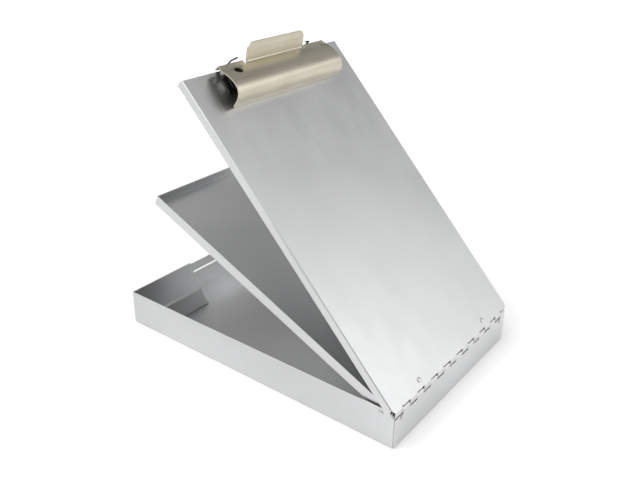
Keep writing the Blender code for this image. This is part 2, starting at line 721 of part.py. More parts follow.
def jaw_ears():
    """Two plates under the cover that carry it on the pin. They end inside the cover's sheet."""
    bm = bmesh.new()
    inside = CLIP_SHEET / 2
    eye = arc((0, 0), JAW_EAR_RADIUS, 180, 360, 8)
    slope = (BACK_HANDLES[1][1] - SHOULDER_HEIGHT) / (SHOULDER_S - BACK_HANDLES[1][0])
    front_height = SHOULDER_HEIGHT + slope * (JAW_EAR_RADIUS + SHOULDER_S - PIN_S)
    top = [(JAW_EAR_RADIUS, FOLD_HEIGHT - inside - PIN_HEIGHT)]
    top.append((SHOULDER_S - PIN_S, SHOULDER_HEIGHT - inside - PIN_HEIGHT))
    top.append((-JAW_EAR_RADIUS, front_height - inside - PIN_HEIGHT))
    for x in (-JAW_EAR_X, JAW_EAR_X):
        prism(bm, [*eye, *top], "X", x - CLIP_SHEET / 2, x + CLIP_SHEET / 2)
    return bm


def jaw_cuts():
    bm = bmesh.new()
    hole(bm, "X", (0, 0), -CLIP_HALF_CREST, CLIP_HALF_CREST, PIN_RADIUS + GAP)
    hole_x, hole_s = JAW_HOLE
    outline = circle((0, 0), JAW_HOLE_RADIUS, 16)
    outline = [(hole_x + x, hole_s - PIN_S + s * JAW_HOLE_SLANT) for x, s in outline]
    prism(bm, outline, "Z", PIN_RADIUS + PUNCH, CREST_HEIGHT)
    for side in (-1, 1):
        x = side * (TAB_HALF + HEM_INNER) / 2
        hole(bm, "Z", (x, FOLD_S - PIN_S), PIN_RADIUS, CREST_HEIGHT, NOTCH_RADIUS)
    return bm


jaw_shift = (0, -PIN_S, -PIN_HEIGHT)
clip_jaw = jaw_skin().solid("clip_jaw", (0, 0, 1), CLIP_SHEET, clip_steel, jaw_axis, jaw_shift)
apply_boolean(clip_jaw, "clip_jaw_ears", "UNION", jaw_ears())
apply_boolean(clip_jaw, "clip_jaw_holes", "DIFFERENCE", jaw_cuts())


# ---------------------------------------------------------------- latch strip

def latch_skin():
    """Outer face of the spring strip: over the rim, down outside it, with a crease that snaps in."""
    skin = Skin()
    outer = WALL_OUTER_S + SEAM + LATCH_SHEET
    low = SLOT_N - CREASE
    lip = low - LIP_START
    path = [(LATCH_START, LATCH_TOP)]
    path += arc((outer - LATCH_BEND, LATCH_TOP - LATCH_BEND), LATCH_BEND, 90, 0, 4)
    path += [(outer, SLOT_N + CREASE), (outer - CREASE, SLOT_N), (outer, low)]
    path += [(outer, lip), (outer + LIP_REACH, lip - LIP_REACH)]
    half = LATCH_WIDTH / 2
    skin.strip([(-half, *point) for point in path], [(half, *point) for point in path])
    return skin


latch_shift = (0, -LATCH_PIVOT_S, -(LATCH_TOP - LATCH_SHEET / 2))
latch_spring = latch_skin().solid(
    "latch_spring", (0, 1, 1), LATCH_SHEET, spring_steel, latch_axis, latch_shift
)
latch_holes = bmesh.new()
for x, s in LATCH_RIVETS:
    hole(latch_holes, "Z", (x, s - LATCH_PIVOT_S), -PUNCH, PUNCH)
apply_boolean(latch_spring, "latch_spring_holes", "DIFFERENCE", latch_holes)
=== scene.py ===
"""The looks of a storage clipboard: a folded aluminium base tray, a middle tray and a lid with a
sprung clip, on one hinge rod. Sizes are in millimetres and become metres where a mesh is made.
X runs along the hinge, Y from the hinge to the latch, Z up. What turns on the hinge rod is drawn
closed, with Y and Z counted from the rod, and then opened to the angle at which it stands.
"""

import json
import math

import bmesh
import bpy
from mathutils import Matrix, Vector
from mathutils.geometry import interpolate_bezier

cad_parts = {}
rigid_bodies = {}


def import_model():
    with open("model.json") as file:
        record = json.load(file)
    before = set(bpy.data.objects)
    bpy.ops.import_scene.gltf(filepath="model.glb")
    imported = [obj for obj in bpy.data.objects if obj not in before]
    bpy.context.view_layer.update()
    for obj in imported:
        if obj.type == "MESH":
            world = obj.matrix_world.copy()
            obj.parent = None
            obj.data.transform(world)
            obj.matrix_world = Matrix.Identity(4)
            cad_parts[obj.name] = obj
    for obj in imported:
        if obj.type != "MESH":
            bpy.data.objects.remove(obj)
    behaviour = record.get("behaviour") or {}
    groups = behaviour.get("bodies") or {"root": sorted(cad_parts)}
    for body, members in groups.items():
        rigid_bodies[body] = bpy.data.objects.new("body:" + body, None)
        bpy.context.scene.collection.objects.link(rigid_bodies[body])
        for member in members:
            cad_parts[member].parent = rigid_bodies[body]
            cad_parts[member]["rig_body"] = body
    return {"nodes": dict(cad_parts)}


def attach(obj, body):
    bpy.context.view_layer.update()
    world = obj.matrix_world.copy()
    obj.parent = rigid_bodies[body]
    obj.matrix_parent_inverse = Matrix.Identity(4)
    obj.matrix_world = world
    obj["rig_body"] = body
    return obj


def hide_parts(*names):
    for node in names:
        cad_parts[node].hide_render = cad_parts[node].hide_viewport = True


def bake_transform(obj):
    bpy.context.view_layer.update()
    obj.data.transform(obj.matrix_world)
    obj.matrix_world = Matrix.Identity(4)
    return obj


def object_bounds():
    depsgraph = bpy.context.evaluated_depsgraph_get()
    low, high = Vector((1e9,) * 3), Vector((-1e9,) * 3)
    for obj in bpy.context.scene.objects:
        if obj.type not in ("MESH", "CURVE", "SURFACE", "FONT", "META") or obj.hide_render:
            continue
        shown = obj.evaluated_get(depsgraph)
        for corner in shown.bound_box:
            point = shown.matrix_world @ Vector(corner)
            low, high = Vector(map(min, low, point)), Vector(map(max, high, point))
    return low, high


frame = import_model()
cad_low, cad_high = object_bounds()
MM = 0.001


# ================================================================ table, light and view
# The clipboard stands on a plain white table. One broad soft light stands low on the hinge side and
# whitens the hinge end of the lid, one hangs overhead, and the grey room between them shows in the
# metal. What the view sees of the room itself is plain white.

TABLE_SIZE = 9.0
TABLE_GAP = 0.1
VIEW_PLACE, VIEW_AIM = (-0.6174, -0.4495, 0.4953), (-0.0578, -0.0437, 0.1548)
VIEW_LENS, VIEW_LEAN = 42.8, 1.47
WHITE = (1, 1, 1, 1)

view = bpy.data.objects.new("view", bpy.data.cameras.new("view"))
view.data.lens = VIEW_LENS
view.location = VIEW_PLACE
aim = Vector(VIEW_AIM) - view.location
view.rotation_mode = "QUATERNION"
lean = Matrix.Rotation(math.radians(VIEW_LEAN), 4, "Z").to_quaternion()
view.rotation_quaternion = aim.to_track_quat("-Z", "Y") @ lean
bpy.context.scene.collection.objects.link(view)
bpy.context.scene.camera = view
bpy.context.scene.view_settings.view_transform = "Standard"


def painted(name, colour, roughness):
    """A plain matt paint, for the table."""
    finish = bpy.data.materials.new(name)
    finish.use_nodes = True
    shader = finish.node_tree.nodes["Principled BSDF"]
    shader.inputs["Base Color"].default_value = (*colour, 1)
    shader.inputs["Roughness"].default_value = roughness
    return finish


table_mesh = bmesh.new()
bmesh.ops.create_grid(table_mesh, x_segments=1, y_segments=1, size=TABLE_SIZE / 2)
table_data = bpy.data.meshes.new("table")
table_mesh.to_mesh(table_data)
table_mesh.free()
table = bpy.data.objects.new("table", table_data)
table.location.z = cad_low.z - TABLE_GAP * MM
table_data.materials.append(painted("white_table", (0.93, 0.93, 0.93), 0.75))
bpy.context.scene.collection.objects.link(table)


room = bpy.data.worlds.new("room")
room.use_nodes = True
bpy.context.scene.world = room
room_nodes = room.node_tree.nodes
room_links = room.node_tree.links
looking = room_nodes.new("ShaderNodeTexCoord").outputs["Generated"]


def room_sum(first, second):
    """Adds one light to what the room already has."""
    added = room_nodes.new("ShaderNodeMath")
    for socket, value in zip(added.inputs, (first, second)):
        if isinstance(value, float):
            socket.default_value = value
        else:
            room_links.new(value, socket)
    return added.outputs["Value"]


def soft_light(direction, full, fades, strength):
    """A round soft light far away: full inside one angle, in degrees, and gone outside the other."""
    facing = room_nodes.new("ShaderNodeVectorMath")
    facing.operation = "DOT_PRODUCT"
    facing.inputs[1].default_value = Vector(direction).normalized()
    room_links.new(looking, facing.inputs[0])
    shape = room_nodes.new("ShaderNodeMapRange")
    shape.interpolation_type = "SMOOTHSTEP"
    shape.inputs["From Min"].default_value = math.cos(math.radians(fades))
    shape.inputs["From Max"].default_value = math.cos(math.radians(full))
    shape.inputs["To Max"].default_value = strength
    room_links.new(facing.outputs["Value"], shape.inputs["Value"])
    return shape.outputs["Result"]


ROOM_GREY = 0.30
SOFT_LIGHTS = (
    ((0.51, -0.79, 0.34), 8, 33, 1.45),
    ((0.60, -0.45, 0.66), 10, 50, 0.14),
    ((-0.35, 0.10, 0.93), 20, 50, 2.15),
    ((-0.90, 0.30, 0.10), 20, 60, 0.50),
)
brightness = ROOM_GREY
for soft in SOFT_LIGHTS:
    brightness = room_sum(soft_light(*soft), brightness)
room_shade = room_nodes["Background"]
room_shade.inputs["Color"].default_value = WHITE
room_links.new(brightness, room_shade.inputs["Strength"])
backdrop = room_nodes.new("ShaderNodeBackground")
backdrop.inputs["Color"].default_value = WHITE
seen = room_nodes.new("ShaderNodeLightPath")
either = room_nodes.new("ShaderNodeMixShader")
room_links.new(seen.outputs["Is Camera Ray"], either.inputs[0])
room_links.new(room_shade.outputs[0], either.inputs[1])
room_links.new(backdrop.outputs[0], either.inputs[2])
room_links.new(either.outputs[0], room_nodes["World Output"].inputs["Surface"])


# ================================================================ base tray
# The shallow box that everything stands on: one blank of 1 mm aluminium, its walls folded up. The
# hinge wall covers the side walls' ends, a tab behind it takes the corner rivets, and its upper
# edge is cut into tongues that are rolled round the hinge rod. The front wall has the latch slot.

SHEET = 1.0
FOLD_RADIUS = 1.6
BURR = 0.18  # how far the sharp edges are rounded
BASE_WIDTH, BASE_LENGTH, BASE_HEIGHT = 240.0, 362.0, 40.5
ROD_Y, ROD_Z = -178.2, 37.5
BARREL_RADIUS, BARREL_CLEAR = 2.8, 0.5
WALL_CLEAR = 0.3  # between the hinge wall's top and the lid's knuckles
SEGMENTS, PITCH = 18, 13.4
KNUCKLE_GAP, LUG_GAP = 0.15, 0.9
LUG_BOUNDARIES = (1, 7, 11, 17)
SEAM = 0.4
BARREL_STEPS = 22
CORNER_EASE = 0.7
TAB_LOW, TAB_HIGH, TAB_REACH = 3.0, 33.0, 19.0
SLOT_LOW, SLOT_HIGH, SLOT_REACH = 24.5, 27.3, 22.5
RIM_NOTCH_HALF, RIM_NOTCH_DEPTH = 25.0, 2.0
PUNCH = 4.0  # how far a punch reaches past the wall's face


def sheet_aluminium(name, tint=(0.64, 0.645, 0.65), roughness=0.36, grain=1.0):
    """Satin rolled sheet: fine grain along Y, cloudy handling marks and a few faint scratches."""
    finish = bpy.data.materials.new(name)
    finish.use_nodes = True
    nodes, links = finish.node_tree.nodes, finish.node_tree.links
    shader = nodes["Principled BSDF"]
    shader.inputs["Metallic"].default_value = 1.0
    place = nodes.new("ShaderNodeTexCoord")

    def noise(scale, stretch, detail):
        """Noise in the sheet's own directions, drawn out along the ones with a small stretch."""
        mapping = nodes.new("ShaderNodeMapping")
        mapping.inputs["Scale"].default_value = [scale * s for s in stretch]
        links.new(place.outputs["Object"], mapping.inputs["Vector"])
        made = nodes.new("ShaderNodeTexNoise")
        made.inputs["Scale"].default_value = 1.0
        made.inputs["Detail"].default_value = detail
        links.new(mapping.outputs["Vector"], made.inputs["Vector"])
        return made.outputs["Fac"]

    def between(value, low, high, out_low, out_high):
        made = nodes.new("ShaderNodeMapRange")
        ends = {"From Min": low, "From Max": high, "To Min": out_low, "To Max": out_high}
        for socket, number in ends.items():
            made.inputs[socket].default_value = number
        links.new(value, made.inputs["Value"])
        return made.outputs["Result"]

    def sum_of(first, second, operation="ADD"):
        made = nodes.new("ShaderNodeMath")
        made.operation = operation
        links.new(first, made.inputs[0])
        links.new(second, made.inputs[1])
        return made.outputs["Value"]

    rolled = noise(1400, (1, 0.02, 1), 3)
    clouds = noise(9, (1, 1, 1), 2)
    smudges = noise(45, (1, 0.6, 1), 4)
    scratch_lines = noise(220, (1, 0.015, 1), 1)
    scratch = between(scratch_lines, 0.72, 0.76, 0, 1)
    rough = sum_of(between(rolled, 0.3, 0.7, roughness - 0.035 * grain, roughness + 0.035 * grain),
                   between(smudges, 0.35, 0.7, -0.02, 0.03))
    rough = sum_of(rough, between(clouds, 0.3, 0.7, -0.02, 0.02))
    rough = sum_of(rough, between(scratch, 0, 1, 0, -0.015))
    links.new(rough, shader.inputs["Roughness"])
    tone = nodes.new("ShaderNodeValToRGB")
    tone.color_ramp.elements[0].color = (*[c * 0.95 for c in tint], 1)
    tone.color_ramp.elements[1].color = (*[min(1, c * 1.03) for c in tint], 1)
    tone.color_ramp.elements[0].position = 0.3
    tone.color_ramp.elements[1].position = 0.7
    links.new(sum_of(clouds, between(rolled, 0, 1, -0.12, 0.12)), tone.inputs["Fac"])
    links.new(tone.outputs["Color"], shader.inputs["Base Color"])
    bump = nodes.new("ShaderNodeBump")
    bump.inputs["Strength"].default_value = 0.10 * grain
    bump.inputs["Distance"].default_value = 0.02 * MM
    links.new(sum_of(rolled, between(scratch, 0, 1, 0, -0.12)), bump.inputs["Height"])
    links.new(bump.outputs["Normal"], shader.inputs["Normal"])
    return finish


class FoldedSheet:
    """The outer face of a folded sheet, drawn panel by panel. Corners in one place are shared."""

    def __init__(self):
        self.bm = bmesh.new()
        self.corners = {}

    def corner(self, point):
        key = tuple(round(value * 1000) for value in point)
        if key not in self.corners:
            self.corners[key] = self.bm.verts.new(point)
        return self.corners[key]

    def panel(self, points):
        self.bm.faces.new(list(dict.fromkeys(self.corner(point) for point in points)))

    def roll(self, first, second):
        """A strip of quads between two rows of points."""
        for a, b, c, d in zip(first, first[1:], second[1:], second):
            self.panel((a, b, c, d))


def fold_levels(radius, steps=6):
    """(inset, height) of the rows that round the fold between a flat panel and a wall."""
    turns = [math.pi / 2 * i / steps for i in range(steps + 1)]
    return [(radius * (1 - math.sin(a)), radius * (1 - math.cos(a))) for a in turns]


def arc(centre, radius, start, end, steps):
    """Points on an arc from one angle to another, in degrees."""
    turns = [math.radians(start + (end - start) * i / steps) for i in range(steps + 1)]
    return [(centre[0] + radius * math.cos(a), centre[1] + radius * math.sin(a)) for a in turns]


def slug(bm, outline, axis, low, high):
    """Adds the outline pushed from low to high along an axis, for a lug or for a punch's cut."""
    places = {
        "X": lambda p, level: (level, p[0], p[1]),
        "Y": lambda p, level: (p[0], level, p[1]),
        "Z": lambda p, level: (p[0], p[1], level),
    }
    near = [bm.verts.new(places[axis](point, low)) for point in outline]
    far = [bm.verts.new(places[axis](point, high)) for point in outline]
    faces = [bm.faces.new(near), bm.faces.new(far)]
    for i in range(len(outline)):
        j = (i + 1) % len(outline)
        faces.append(bm.faces.new((near[i], near[j], far[j], far[i])))
    bmesh.ops.recalc_face_normals(bm, faces=faces)


def mesh_object(name, bm):
    bmesh.ops.scale(bm, verts=bm.verts, vec=(MM, MM, MM))
    data = bpy.data.meshes.new(name)
    bm.to_mesh(data)
    bm.free()
    made = bpy.data.objects.new(name, data)
    bpy.context.scene.collection.objects.link(made)
    return made


def press(name, sheet, outward, finish, stand=None, thickness=SHEET, joins=None, cuts=None):
    """Gives the folded sheet its thickness, adds lugs, punches holes and takes the burr off the edges."""
    bmesh.ops.recalc_face_normals(sheet.bm, faces=sheet.bm.faces)
    largest = max(sheet.bm.faces, key=lambda face: face.calc_area())
    if largest.normal.dot(Vector(outward)) < 0:
        bmesh.ops.reverse_faces(sheet.bm, faces=sheet.bm.faces)
    made = mesh_object(name, sheet.bm)
    solid = made.modifiers.new("thickness", "SOLIDIFY")
    solid.thickness = thickness * MM
    solid.offset = -1
    solid.use_even_offset = True
    solid.use_quality_normals = True
    tools = []
    for kind, shapes in (("UNION", joins), ("DIFFERENCE", cuts)):
        if shapes:
            tool = mesh_object(f"{name}_{kind.lower()}", shapes)
            tools.append(tool)
            boolean = made.modifiers.new(kind.lower(), "BOOLEAN")
            boolean.operation = kind
            boolean.object = tool
    finish_edges(made)
    settle(made, tools)
    made.data.materials.append(finish)
    if stand:
        made.matrix_world = stand
    return made


def finish_edges(made):
    """A small rounding on every sharp edge, and normals that keep the flat faces flat."""
    burr = made.modifiers.new("edges", "BEVEL")
    burr.width = BURR * MM
    burr.segments = 2
    burr.limit_method = "ANGLE"
    burr.angle_limit = math.radians(40)
    burr.use_clamp_overlap = True
    made.data.shade_smooth()
    flat = made.modifiers.new("flat_faces", "WEIGHTED_NORMAL")
    flat.keep_sharp = True


def settle(made, tools):
    """Makes the modified shape the object's own mesh and removes the tools that shaped it."""
    bpy.context.view_layer.update()
    graph = bpy.context.evaluated_depsgraph_get()
    shaped = made.evaluated_get(graph)
    final = bpy.data.meshes.new_from_object(shaped, preserve_all_data_layers=True, depsgraph=graph)
    made.modifiers.clear()
    made.data = final
    final.name = made.name
    for tool in tools:
        bpy.data.objects.remove(tool, do_unlink=True)


def knuckle(index):
    """Where the rolled tongue in this place along the hinge starts and ends."""
    start = (index - SEGMENTS / 2) * PITCH
    end = start + PITCH
    start += LUG_GAP if index in LUG_BOUNDARIES else KNUCKLE_GAP
    end -= LUG_GAP if index + 1 in LUG_BOUNDARIES else KNUCKLE_GAP
    return start, min(end, BASE_WIDTH / 2)


base_half, base_end = BASE_WIDTH / 2, BASE_LENGTH / 2
base_knuckles = [knuckle(i) for i in range(1, SEGMENTS, 2)]
lid_knuckles = [knuckle(i) for i in range(0, SEGMENTS, 2)]
seam_y = -base_end + SHEET + SEAM
hinge_wall_top = ROD_Z - BARREL_RADIUS - WALL_CLEAR

base_sheet = FoldedSheet()
base_rings = []
for inset, height in fold_levels(FOLD_RADIUS):
    x, y = base_half - inset, base_end - inset
    base_rings.append([(-x, -y, height), (x, -y, height), (x, y, height), (-x, y, height)])
base_sheet.panel(base_rings[0])
for lower, upper in zip(base_rings, base_rings[1:]):
    for i in range(4):
        j = (i + 1) % 4
        strip = [lower[i], lower[j], upper[j], upper[i]]
        if i in (1, 3) and upper is base_rings[-1]:
            # The side walls stop short of the hinge wall.
            strip.insert(3, (upper[j][0], seam_y, FOLD_RADIUS))
        base_sheet.panel(strip)
base_sheet.panel([
    (-base_half, base_end, FOLD_RADIUS), (base_half, base_end, FOLD_RADIUS),
    (base_half, base_end, BASE_HEIGHT), (-base_half, base_end, BASE_HEIGHT),
])

barrel_clear = BARREL_RADIUS + BARREL_CLEAR
barrel_room = arc((ROD_Y, ROD_Z), barrel_clear, -90, 0, 10)
for side in (-1, 1):
    x = side * base_half
    outline = [(base_end, FOLD_RADIUS), (seam_y, FOLD_RADIUS), (seam_y, TAB_LOW), (seam_y, TAB_HIGH)]
    outline += [(seam_y, ROD_Z - barrel_clear), *barrel_room]
    outline += [(ROD_Y + barrel_clear, BASE_HEIGHT), (base_end, BASE_HEIGHT)]
    base_sheet.panel([(x, y, z) for y, z in outline])
    tab_x = x - side * TAB_REACH
    tab = [(x, TAB_LOW), (tab_x, TAB_LOW), (tab_x, TAB_HIGH), (x, TAB_HIGH)]
    base_sheet.panel([(tx, seam_y, z) for tx, z in tab])

hinge_wall = [(base_half, hinge_wall_top)]
for start, end in reversed(base_knuckles):
    hinge_wall += [(end, hinge_wall_top), (start, hinge_wall_top)]
corner_ease = FOLD_RADIUS + CORNER_EASE
hinge_wall += [(-base_half, hinge_wall_top), (-base_half, corner_ease), (-base_half, FOLD_RADIUS)]
hinge_wall += [(base_half, FOLD_RADIUS), (base_half, corner_ease)]
base_sheet.panel([(x, -base_end, z) for x, z in hinge_wall])
base_roll = [(-base_end, hinge_wall_top), *arc((ROD_Y, ROD_Z), BARREL_RADIUS, 180, -60, BARREL_STEPS)]
for start, end in base_knuckles:
    base_sheet.roll([(start, *point) for point in base_roll], [(end, *point) for point in base_roll])

slot_radius = (SLOT_HIGH - SLOT_LOW) / 2
slot_middle = (SLOT_LOW + SLOT_HIGH) / 2
slot_outline = arc((SLOT_REACH - slot_radius, slot_middle), slot_radius, -90, 90, 12)
slot_outline += arc((slot_radius - SLOT_REACH, slot_middle), slot_radius, 90, 270, 12)
notch_low, notch_high = BASE_HEIGHT - RIM_NOTCH_DEPTH, BASE_HEIGHT + RIM_NOTCH_DEPTH / 2
notch_wide = RIM_NOTCH_HALF + notch_high - notch_low
rim_notch = [(-RIM_NOTCH_HALF, notch_low), (RIM_NOTCH_HALF, notch_low)]
rim_notch += [(notch_wide, notch_high), (-notch_wide, notch_high)]
base_punch = bmesh.new()
for outline in (slot_outline, rim_notch):
    slug(base_punch, outline, "Y", base_end - PUNCH, base_end + PUNCH)

satin = sheet_aluminium("satin_sheet")
base_tray = press("base_tray_folded", base_sheet, (0, 0, -1), satin, cuts=base_punch)
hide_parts("base_tray")
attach(base_tray, "base")


# ================================================================ pen divider
# A channel of the same sheet that stands across the near front corner of the base and makes a
# trough for pens. Its top flange stiffens it and carries the closed middle tray; its foot is
# riveted to the floor. The free end is cut in a shallow hollow curve.

CLEARANCE = 0.3  # between pieces that touch
DIVIDER_Y, DIVIDER_TOP = 140.6, 28.3
DIVIDER_FOOT, DIVIDER_HEM, DIVIDER_FOLD = 9.5, 2.5, 1.3
DIVIDER_FOOT_X, DIVIDER_TOP_X, END_HOLLOW, END_STEPS = -36.5, -47.9, 1.6, 12
FOOT_TRIM, TOP_TRIM = 0.8, 0.5  # how far the free end steps back at the two folds

divider_start = -base_half + SHEET + CLEARANCE
divider_low = SHEET + CLEARANCE
foot_end, top_end = Vector((DIVIDER_FOOT_X, divider_low)), Vector((DIVIDER_TOP_X, DIVIDER_TOP))
free_end = []
for i in range(END_STEPS + 1):
    share = i / END_STEPS
    point = foot_end.lerp(top_end, share)
    free_end.append((point.x - END_HOLLOW * 4 * share * (1 - share), point.y))
divider_sheet = FoldedSheet()
divider_fold = fold_levels(DIVIDER_FOLD, 4)
web_low, web_high = divider_low + DIVIDER_FOLD, DIVIDER_TOP - DIVIDER_FOLD
web = [(x, z) for x, z in free_end if web_low < z < web_high]
web = [(DIVIDER_FOOT_X - FOOT_TRIM, web_low), *web, (DIVIDER_TOP_X + TOP_TRIM, web_high)]
divider_sheet.panel(
    [(divider_start, DIVIDER_Y, web[0][1])]
    + [(x, DIVIDER_Y, z) for x, z in web]
    + [(divider_start, DIVIDER_Y, web[-1][1])]
)
for level, edge, way, reach in (
    (divider_low, web[0], 1, DIVIDER_FOOT),
    (DIVIDER_TOP, web[-1], -1, DIVIDER_HEM),
):
    flange = [(DIVIDER_Y + height, level + way * inset) for inset, height in divider_fold]
    flange.append((DIVIDER_Y + reach, level))
    divider_sheet.roll(*[[(x, *point) for point in flange] for x in (divider_start, edge[0])])
pen_divider = press("pen_divider_folded", divider_sheet, (0, -1, 0), satin)
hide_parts("pen_divider")
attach(pen_divider, "base")


# ================================================================ rivets
# Aluminium blind rivets hold the folded corners, the divider, the clip and the latch. Each has a
# low dome with a thin flange and a dimple where its mandrel broke off, and all but the divider's have a set
# tail behind.


def circle(centre, radius, steps=24):
    return arc(centre, radius, 0, 360, steps)[:-1]


def turned(name, profile, finish, turn, steps=32):
    """A turned piece from (radius, height) pairs, set along the direction that turn gives."""
    bm = bmesh.new()
    rings = []
    for radius, height in profile:
        ring = circle((0, 0), radius, steps) if radius else [(0, 0)]
        rings.append([bm.verts.new((x, y, height)) for x, y in ring])
    for lower, upper in zip(rings, rings[1:]):
        for i in range(steps):
            j = (i + 1) % steps
            corners = [lower[i % len(lower)], lower[j % len(lower)]]
            corners += [upper[j % len(upper)], upper[i % len(upper)]]
            bm.faces.new(list(dict.fromkeys(corners)))
    bmesh.ops.recalc_face_normals(bm, faces=bm.faces)
    made = mesh_object(name, bm)
    made.data.shade_smooth()
    made.data.set_sharp_from_angle(angle=math.radians(40))
    made.data.materials.append(finish)
    made.matrix_world = turn
    return made


RIVET_HEAD, RIVET_DOME, RIVET_HEIGHT, RIVET_SHANK = 2.7, 2.5, 0.8, 1.5
DIMPLE_DEPTH, DIMPLE_FLOOR, DIMPLE_EDGE = 0.32, 0.55, 0.8
FLANGE_THICK = 0.22
rivet_satin = sheet_aluminium("rivet_satin", (0.63, 0.635, 0.64), 0.33, 0.5)


def rivet(node, place, direction, grip, tail=True):
    """A rivet whose flange lies on the sheet at place, in the frame that its body stands in."""
    low, top = CLEARANCE, CLEARANCE + RIVET_HEIGHT
    profile = [(0, top - DIMPLE_DEPTH), (DIMPLE_FLOOR, top - DIMPLE_DEPTH + 0.02), (DIMPLE_EDGE, top - 0.02)]
    for radius in (1.1, 1.5, 1.9, 2.2, 2.4):
        dome = math.sqrt(1 - (radius / RIVET_DOME) ** 2)
        profile.append((radius, low + FLANGE_THICK + (RIVET_HEIGHT - FLANGE_THICK) * dome))
    profile += [(RIVET_DOME + 0.05, low + FLANGE_THICK + 0.02), (RIVET_HEAD, low + 0.16)]
    profile += [(RIVET_HEAD, low + 0.04), (RIVET_HEAD - 0.05, low)]
    far = -grip - CLEARANCE
    profile += [(RIVET_SHANK, low), (RIVET_SHANK, far)]
    if tail:
        profile += [(2.1, far), (2.3, far - 0.2), (2.2, far - 0.5), (1.7, far - 0.7)]
        far -= 0.7
    profile.append((0, far))
    turn = place @ Vector((0, 0, 1)).rotation_difference(Vector(direction)).to_matrix().to_4x4()
    body = frame["nodes"][node]["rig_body"]
    made = turned(f"{node}_set", profile[::-1], rivet_satin, turn)
    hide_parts(node)
    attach(made, body)


def at(x, y, z):
    return Matrix.Translation(Vector((x, y, z)) * MM)


SIDE_RIVET_Y, SIDE_RIVET_Z = -164.0, 35.0
END_RIVET_X, END_RIVET_Z = 108.0, 30.6
DIVIDER_RIVETS = ((-104.0, 146.5), (-58.0, 146.5))
FLOOR_GRIP = SHEET - 0.2  # these end inside the floor, so that the tray stands flat
for number, side in ((1, -1), (2, 1)):
    rivet(f"side_rivet_{number}", at(side * base_half, SIDE_RIVET_Y, SIDE_RIVET_Z), (side, 0, 0), SHEET)
    end_place = at(side * END_RIVET_X, -base_end, END_RIVET_Z)
    rivet(f"end_rivet_{number}", end_place, (0, -1, 0), 2 * SHEET + SEAM)
for number, (x, y) in enumerate(DIVIDER_RIVETS, 1):
    floor_place = at(x, y, 2 * SHEET + CLEARANCE)
    rivet(f"divider_rivet_{number}", floor_place, (0, 0, 1), FLOOR_GRIP, tail=False)


# ================================================================ hinge rod
# A 3 mm drawn steel rod through all the rolled knuckles and the middle tray's eyes. Its ends are
# chamfered and stand level with the first and the last knuckle.


def drawn_steel(name, tint, roughness, along=(0.02, 1, 1)):
    """Drawn or rolled steel: long fine lines in the direction with the small stretch."""
    finish = bpy.data.materials.new(name)
    finish.use_nodes = True
    nodes, links = finish.node_tree.nodes, finish.node_tree.links
    shader = nodes["Principled BSDF"]
    shader.inputs["Metallic"].default_value = 1.0
    place = nodes.new("ShaderNodeTexCoord")
    lines = nodes.new("ShaderNodeTexNoise")
    lines.inputs["Scale"].default_value = 1.0
    lines.inputs["Detail"].default_value = 3.0
    stretch = nodes.new("ShaderNodeMapping")
    stretch.inputs["Scale"].default_value = [1800 * a for a in along]
    links.new(place.outputs["Object"], stretch.inputs["Vector"])
    links.new(stretch.outputs["Vector"], lines.inputs["Vector"])
    rough = nodes.new("ShaderNodeMapRange")
    rough.inputs["To Min"].default_value = roughness - 0.06
    rough.inputs["To Max"].default_value = roughness + 0.08
    links.new(lines.outputs["Fac"], rough.inputs["Value"])
    links.new(rough.outputs["Result"], shader.inputs["Roughness"])
    tone = nodes.new("ShaderNodeValToRGB")
    tone.color_ramp.elements[0].position = 0.35
    tone.color_ramp.elements[1].position = 0.65
    tone.color_ramp.elements[0].color = (*[c * 0.82 for c in tint], 1)
    tone.color_ramp.elements[1].color = (*tint, 1)
    links.new(lines.outputs["Fac"], tone.inputs["Fac"])
    links.new(tone.outputs["Color"], shader.inputs["Base Color"])
    bump = nodes.new("ShaderNodeBump")
    bump.inputs["Strength"].default_value = 0.15
    bump.inputs["Distance"].default_value = 0.02 * MM
    links.new(lines.outputs["Fac"], bump.inputs["Height"])
    links.new(bump.outputs["Normal"], shader.inputs["Normal"])
    return finish


ROD_START, ROD_LENGTH = -120.9, 240.7
ROD_END = ((0, 0), (1.1, 0), (1.3, 0.06), (1.46, 0.22), (1.5, 0.4))
rod_steel = drawn_steel("rod_steel", (0.42, 0.42, 0.43), 0.34, (1, 1, 0.02))
rod_profile = [*ROD_END, *[(r, ROD_LENGTH - h) for r, h in reversed(ROD_END)]]
rod_turn = at(ROD_START, ROD_Y, ROD_Z) @ Matrix.Rotation(math.radians(90), 4, "Y")
hinge_rod = turned("hinge_rod_drawn", rod_profile, rod_steel, rod_turn)
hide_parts("hinge_rod")
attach(hinge_rod, "base")


# ================================================================ middle tray
# A thinner tray of the same sheet that lies in the top of the base. Four lugs behind its rear wall
# have eyes on the rod, each in a gap between two knuckles.

TRAY_WIDTH, TRAY_START, TRAY_END, TRAY_DEPTH = 234.0, 4.5, 336.6, 12.0
TRAY_STANDS = math.radians(24.25)
LUG_RADIUS, LUG_SHEET, LUG_EYE = 2.6, 1.2, 1.8
LUG_TOP, LUG_BOTTOM, LUG_FRONT, LUG_WELD = -0.5, -5.0, 2.4, 0.5  # the weld is how far it enters the wall
hinge = at(0, ROD_Y, ROD_Z)
tray_stand = hinge @ Matrix.Rotation(TRAY_STANDS, 4, "X")

